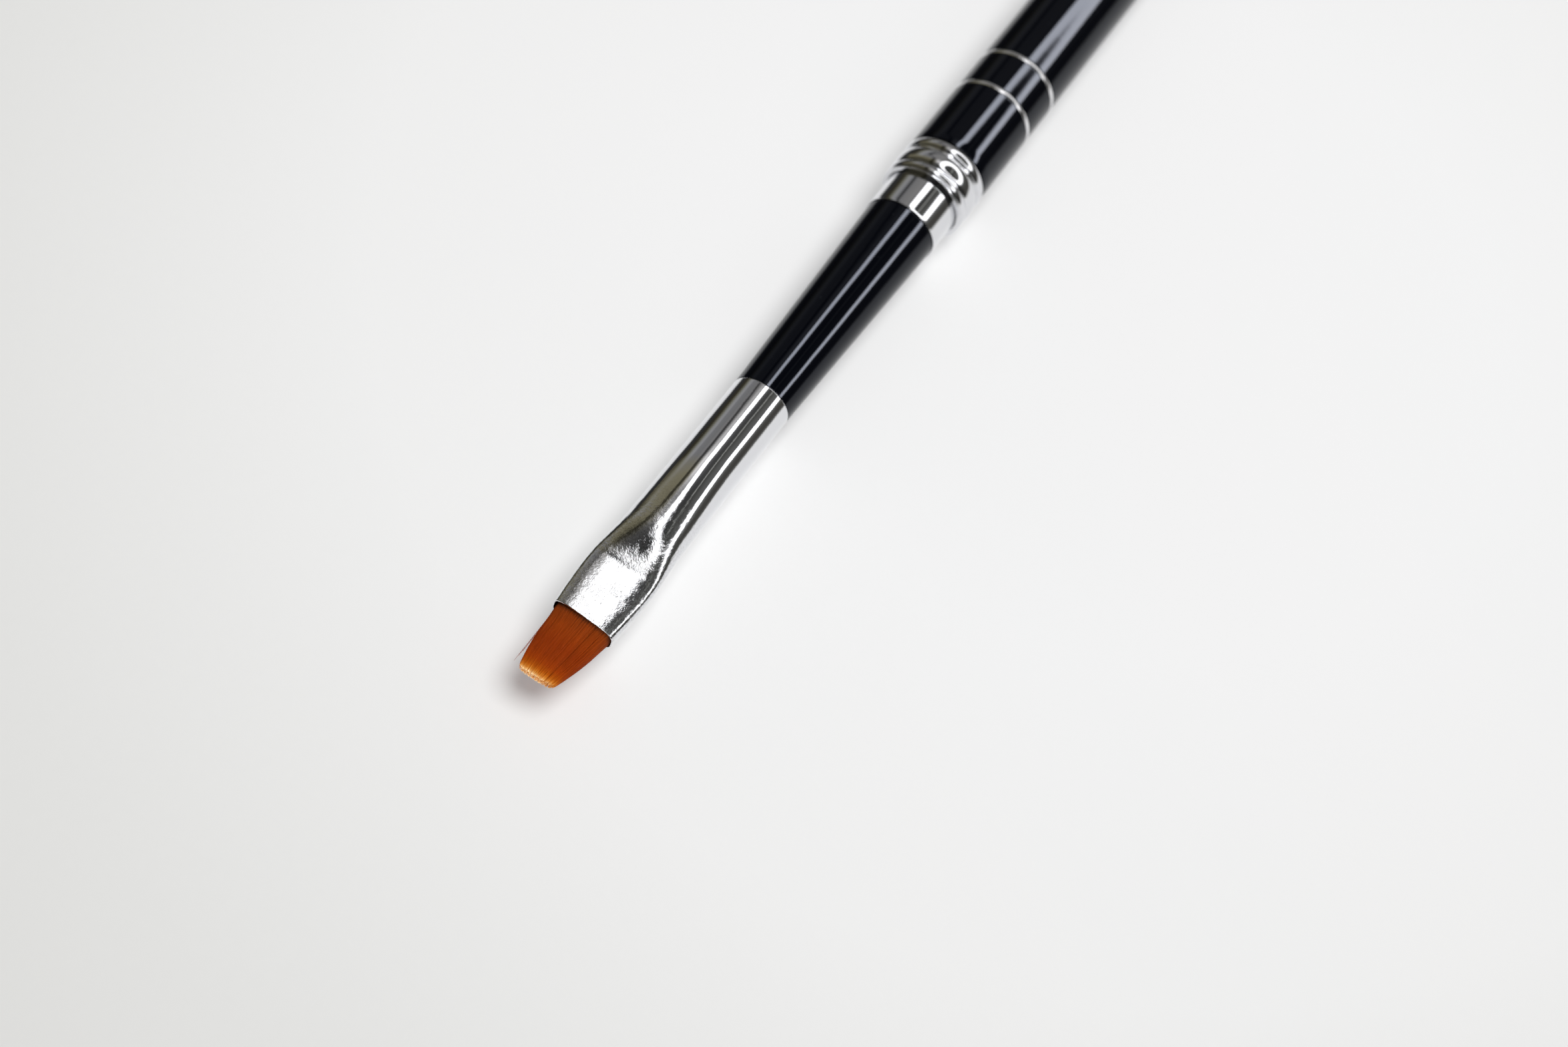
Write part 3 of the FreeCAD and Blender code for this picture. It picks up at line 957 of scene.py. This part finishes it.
def make_band(band):
    """Crowned silver band, split on its underside."""
    low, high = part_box(band)
    half = (high.x - low.x) / 2
    middle_x = (low.x + high.x) / 2
    inner = BARREL_R - 0.19 * MM
    outline = [(low.x, inner), (low.x, BARREL_R - 0.03 * MM)]
    for share in spread(-1.0, 1.0, steps=8):
        rise = 0.03 * MM * (1 - share * share)
        outline.append((middle_x + (half - 0.015 * MM) * share, BARREL_R - 0.01 * MM + rise))
    outline += [(high.x, BARREL_R - 0.03 * MM), (high.x, inner)]
    split = 0.12 * MM / BARREL_R
    piece = lathe(band + "_ring", outline, "band_metal", split)
    put(piece, band, "barrel")


def make_end_cap():
    """Plated rear cap with a domed edge, a turned groove, a spigot and a stud."""
    front = BARREL_REAR_X
    groove_front = front - 0.9 * MM
    groove_rear = groove_front - 0.5 * MM
    spigot_x = front + 2.0 * MM
    spigot_r = BORE_R - FIT_GAP
    stud_r = 1.5 * MM
    corners = [(CAP_REAR_X, 0.0, 0.0), (CAP_REAR_X, BARREL_R, 0.9 * MM)]
    body = rounded(corners + [(groove_rear, BARREL_R, 0.0), (groove_front, 0.0, 0.0)])
    outline = [point for point in body if point[0] < groove_rear]
    for share in spread(-1.0, 1.0, steps=8):
        depth = 0.2 * MM * math.sqrt(max(1 - share * share, 0.0))
        outline.append((mix(groove_rear, groove_front, (share + 1) / 2), BARREL_R - depth))
    rest = rounded([
        (groove_front, 0.0, 0.0),
        (front, BARREL_R, 0.05 * MM),
        (front, spigot_r, 0.0),
        (spigot_x, spigot_r, 0.1 * MM),
        (spigot_x, stud_r, 0.0),
        (STUD_X, stud_r, 0.2 * MM),
        (STUD_X, 0.0, 0.0),
    ])
    outline += rest[1:]
    piece = lathe("rear_cap", outline, "cap_chrome")
    put(piece, "end_cap", "barrel")


def finish_end_plug():
    """Material of the plug inside the barrel's rear, whose CAD mesh stays as it is."""
    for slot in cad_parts["end_plug"].material_slots:
        slot.material = MATERIALS["end_plug_plastic"]


# -------- camera, floor and light

LENS = 61.3  # mm, on a 36 mm sensor
CAMERA_TILT = math.radians(29)  # the brush's rear is farther away than its tip
BRUSH_SLOPE = math.radians(52.39)  # of the brush as the camera sees it, above level
CAMERA_ROLL = math.radians(9)  # round the brush's axis, from +Z towards +Y
CAMERA_DISTANCE = 226.0 * MM
AIM_BEHIND_MOUTH = 18.84 * MM
AIM_ASIDE = 7.99 * MM
F_NUMBER = 22


def camera_axes():
    """Rows with the camera's right, up and backward directions in the brush's frame."""
    slope_cos, slope_sin = math.cos(BRUSH_SLOPE), math.sin(BRUSH_SLOPE)
    tilt_cos, tilt_sin = math.cos(CAMERA_TILT), math.sin(CAMERA_TILT)
    along = Vector((-slope_cos * tilt_cos, -slope_sin * tilt_cos, tilt_sin))
    aside = Vector((slope_sin, -slope_cos, 0))
    facing = Vector((slope_cos * tilt_sin, slope_sin * tilt_sin, tilt_cos))
    across = aside * math.cos(CAMERA_ROLL) + facing * math.sin(CAMERA_ROLL)
    up = facing * math.cos(CAMERA_ROLL) - aside * math.sin(CAMERA_ROLL)
    return Matrix((along, across, up)).transposed()


def make_camera():
    """Camera at the photograph's viewing angle, sharp at the ferrule's mouth."""
    axes = camera_axes()
    aside = Vector((0, math.cos(CAMERA_ROLL), -math.sin(CAMERA_ROLL)))
    aim = Vector((MOUTH_X - AIM_BEHIND_MOUTH, 0, 0)) + aside * AIM_ASIDE
    data = bpy.data.cameras.new("photo_camera")
    data.lens = LENS
    data.sensor_width = 36
    data.clip_start = 0.01
    data.clip_end = 20
    camera = add_object("photo_camera", data)
    place = Matrix.Translation(aim + axes[2] * CAMERA_DISTANCE)
    camera.matrix_world = place @ axes.transposed().to_4x4()
    bpy.context.scene.camera = camera
    focus = add_object("focus_point", None)
    focus.location = (MOUTH_X - 2 * MM, 0, 0)
    data.dof.use_dof = True
    data.dof.focus_object = focus
    data.dof.aperture_fstop = F_NUMBER


FLOOR_GLOW = 0.30  # share of the table's brightness that is painted glow, so it has no shadow
FLOOR_CENTRE = (105 * MM, 19 * MM, 0)  # brightest place of the table


def make_floor():
    """Plain pale table top with a very fine grain, just under the collar's beads. Painted light
    falloff makes it a little darker and warmer far from its brightest place, and a painted dark
    reflection makes it black to reflections on its far left. A painted glow lifts its shadows."""
    material, tree = new_material("pale_table")
    grain = noise(tree, (900, 900, 900), detail=5.0)
    coordinates = node(tree, "ShaderNodeTexCoord").outputs["Object"]
    away = node(tree, "ShaderNodeVectorMath", {0: coordinates, 1: FLOOR_CENTRE},
                operation="DISTANCE")
    distance = maths(tree, "ADD", away.outputs["Value"], maths(tree, "MULTIPLY", grain, 4 * MM))
    # painted light falloff: the table is darker and warmer away from its brightest place
    tint = ramp(tree, map_range(tree, distance, 40 * MM, 150 * MM), [
        (0.0, (0.855, 0.855, 0.855)),
        (0.28, (0.825, 0.825, 0.82)),
        (0.60, (0.725, 0.725, 0.71)),
        (1.0, (0.635, 0.63, 0.61)),
    ])
    side = node(tree, "ShaderNodeSeparateXYZ", {"Vector": coordinates}).outputs["Y"]
    # painted reflection: the far left of the table is black to reflections only
    left_dark_reflection = map_range(tree, side, -14 * MM, -22 * MM, 0.0, 0.96)
    reflected = node(tree, "ShaderNodeLightPath").outputs["Is Glossy Ray"]
    shown = mix_colours(tree, maths(tree, "MULTIPLY", left_dark_reflection, reflected), tint, (0, 0, 0, 1))
    # painted light: the table glows with its own colour, which lifts its shadows
    glow = {"Emission Color": shown, "Emission Strength": FLOOR_GLOW, "Specular IOR Level": 0.0}
    dress(material, shown, 0.7, bump(tree, grain, 0.01 * MM), glow)
    half = 4.0
    corners = [(-half, -half, 0), (half, -half, 0), (half, half, 0), (-half, half, 0)]
    floor = add_surface("table_top", corners, [(0, 1, 2, 3)], material)
    floor.location = (0, 0, -BEAD_R - 0.005 * MM)


KEY_LIGHT = 2.0  # strength of the soft light from above
KEY_DIRECTION = Vector((-0.12, 0.24, 1.0))


def make_key_light():
    """Soft light from above and a little to the right, which reflections don't show."""
    data = bpy.data.lights.new("key_light", "SUN")
    data.energy = KEY_LIGHT
    data.angle = math.radians(36)
    lamp = add_object("key_light", data)
    lamp.rotation_euler = KEY_DIRECTION.to_track_quat("Z", "Y").to_euler()
    lamp.visible_glossy = False


LAMP_DISTANCE = 0.300
LAMP_LEAN = math.radians(22.5)  # from straight above towards the brush's rear
LAMP_ROLL = math.radians(25.2)  # round the brush's axis, from +Z towards +Y
LAMP_INNER = math.radians(20.3)  # half angles of the ring seen from the grip
LAMP_OUTER = math.radians(31.6)
LAMP_STRETCH = 1.115  # the ring is this much longer along the brush
LAMP_SEEN = 15.0  # strength in reflections
LAMP_LIGHT = 0.35  # strength as it lights the table


def make_ring_lamp():
    """Ring lamp above the brush, brightest along the middle of the ring."""
    toward = Vector((-math.sin(LAMP_LEAN), math.cos(LAMP_LEAN) * math.sin(LAMP_ROLL),
                     math.cos(LAMP_LEAN) * math.cos(LAMP_ROLL)))
    inner = LAMP_DISTANCE * math.tan(LAMP_INNER)
    outer = LAMP_DISTANCE * math.tan(LAMP_OUTER)
    steps = 128
    vertices = []
    for radius in (inner, outer):
        for step in range(steps):
            angle = 2 * math.pi * step / steps
            vertices.append((radius * math.cos(angle), radius * math.sin(angle), 0))
    faces = []
    join_rings(faces, steps, 0, steps)
    material, tree = new_material("lamp_glow")
    tree.nodes.remove(tree.nodes["Principled BSDF"])
    coordinates = node(tree, "ShaderNodeTexCoord").outputs["Object"]
    distance = node(tree, "ShaderNodeVectorMath", {0: coordinates},
                    operation="LENGTH").outputs["Value"]
    off = distance_from(tree, distance, (inner + outer) / 2)
    half = (outer - inner) / 2
    rim = map_range(tree, off, half, half * 0.85, 0.0, 0.12)  # dim edges of the ring
    core = map_range(tree, off, half * 0.80, half * 0.55, 0.0, 0.88)
    edge = maths(tree, "ADD", rim, core)
    path = node(tree, "ShaderNodeLightPath")
    seen = map_range(tree, path.outputs["Is Glossy Ray"], 0.0, 1.0, LAMP_LIGHT, LAMP_SEEN)
    glow = node(tree, "ShaderNodeEmission", {"Color": (1.0, 0.995, 1.0, 1.0),
                                             "Strength": maths(tree, "MULTIPLY", seen, edge)})
    tree.links.new(glow.outputs[0], tree.nodes["Material Output"].inputs["Surface"])
    lamp = add_surface("ring_lamp", vertices, faces, material)
    along = (Vector((1, 0, 0)) - toward * toward.x).normalized()
    facing = Matrix((along * LAMP_STRETCH, toward.cross(along), toward)).transposed().to_4x4()
    middle_place = Vector((GRIP_FRONT_X, 0, 0)) + toward * LAMP_DISTANCE
    lamp.matrix_world = Matrix.Translation(middle_place) @ facing
    lamp.visible_camera = False
    lamp.visible_shadow = False


# Colours of the dim room in reflections, by the angle from +Z towards +Y in degrees
ROOM = (
    (-92, (0.010, 0.010, 0.009)),
    (-87, (0.050, 0.044, 0.028)),
    (-84, (0.022, 0.020, 0.016)),
    (-78, (0.085, 0.080, 0.055)),
    (-73, (0.165, 0.160, 0.125)),
    (-67, (0.27, 0.27, 0.26)),
    (-61, (0.30, 0.30, 0.305)),
    (-55, (0.20, 0.20, 0.205)),
    (-42, (0.185, 0.185, 0.185)),
    (-36, (0.21, 0.205, 0.205)),
    (-24, (0.23, 0.225, 0.22)),
    (-17, (0.25, 0.245, 0.24)),
    (5, (0.12, 0.12, 0.12)),
    (12, (0.065, 0.065, 0.065)),
    (21.5, (0.058, 0.058, 0.054)),
    (22.7, (0.36, 0.36, 0.34)),
    (23.9, (0.36, 0.36, 0.34)),
    (25.1, (0.062, 0.062, 0.057)),
    (36, (0.11, 0.11, 0.105)),
    (42, (0.12, 0.12, 0.115)),
    (62, (0.16, 0.16, 0.155)),
    (68, (0.080, 0.078, 0.072)),
    (80, (0.060, 0.056, 0.050)),
    (86, (0.10, 0.098, 0.09)),
    (92, (0.25, 0.25, 0.25)),
)
OLIVE = (0.212, 0.194, 0.130, 1)  # the room's left side, fading out towards the rear
PATCH_REARWARD = 0.40  # a soft bright patch beside the lamp
PATCH_ANGLE = math.radians(-12)
PATCH_LIGHT = 2.3  # how much brighter it is than the room
TABLE_SKY = (0.12, 0.12, 0.1212, 1)  # plain sky as it lights the table
CAMERA_SKY = (0.86, 0.86, 0.86, 1)  # plain sky behind the table's edge


def make_world():
    """Plain pale sky for the camera and for soft light. Reflections see a dim room instead, in
    olive and grey, with a dark lamp arm and a bright patch. It changes with the angle round the
    brush and with the lean towards the brush's rear."""
    world = bpy.data.worlds.new("studio")
    world.use_nodes = True
    bpy.context.scene.world = world
    tree = world.node_tree
    background = tree.nodes["Background"]
    way = node(tree, "ShaderNodeTexCoord").outputs["Generated"]
    parts = node(tree, "ShaderNodeSeparateXYZ", {"Vector": way})
    angle = maths(tree, "ARCTAN2", parts.outputs["Y"], parts.outputs["Z"])
    turn = map_range(tree, angle, -math.pi, math.pi)
    around = ramp(tree, turn, [(0.5 + degrees / 360, colour) for degrees, colour in ROOM])
    rearward = maths(tree, "MULTIPLY", parts.outputs["X"], -1.0)
    left = map_range(tree, angle, math.radians(-16), math.radians(-26))
    near = map_range(tree, rearward, 0.445, 0.345)
    room = mix_colours(tree, maths(tree, "MULTIPLY", left, near), around, OLIVE)
    arm_angle = map_range(tree, rearward, 0.5075, 0.588, math.radians(-28), math.radians(-48))
    beside_arm = distance_from(tree, angle, arm_angle)
    arm = map_range(tree, beside_arm, math.radians(2.5), math.radians(5.5), 0.25, 1.0)
    ahead = map_range(tree, rearward, 0.05, 0.36, 0.28, 1.0)
    patch_off = distance_from(tree, rearward, PATCH_REARWARD)
    patch_aside = distance_from(tree, angle, PATCH_ANGLE)
    patch = maths(tree, "MULTIPLY", map_range(tree, patch_off, 0.05, 0.17, PATCH_LIGHT, 0.0),
                  map_range(tree, patch_aside, math.radians(4), math.radians(11), 1.0, 0.0))
    light = maths(tree, "MULTIPLY", ahead, arm)
    light = maths(tree, "MULTIPLY", light, maths(tree, "ADD", patch, 1.0))
    path = node(tree, "ShaderNodeLightPath")
    plain = mix_colours(tree, path.outputs["Is Camera Ray"], TABLE_SKY, CAMERA_SKY)
    chosen = mix_colours(tree, path.outputs["Is Glossy Ray"], plain,
                         scaled_colour(tree, room, light))
    tree.links.new(chosen, background.inputs["Color"])


make_ferrule()
make_tuft()
make_tuft_core()
make_root()
make_glue()
make_binding()
make_grip()
make_core()
make_neck()
make_neck_plug()
make_friction_ring()
make_collar()
make_barrel()
make_band("front_band")
make_band("rear_band")
make_end_cap()
finish_end_plug()
make_camera()
make_floor()
make_key_light()
make_ring_lamp()
make_world()
bpy.context.scene.view_settings.view_transform = "Standard"
bpy.context.scene.cycles.sample_clamp_direct = 1.8
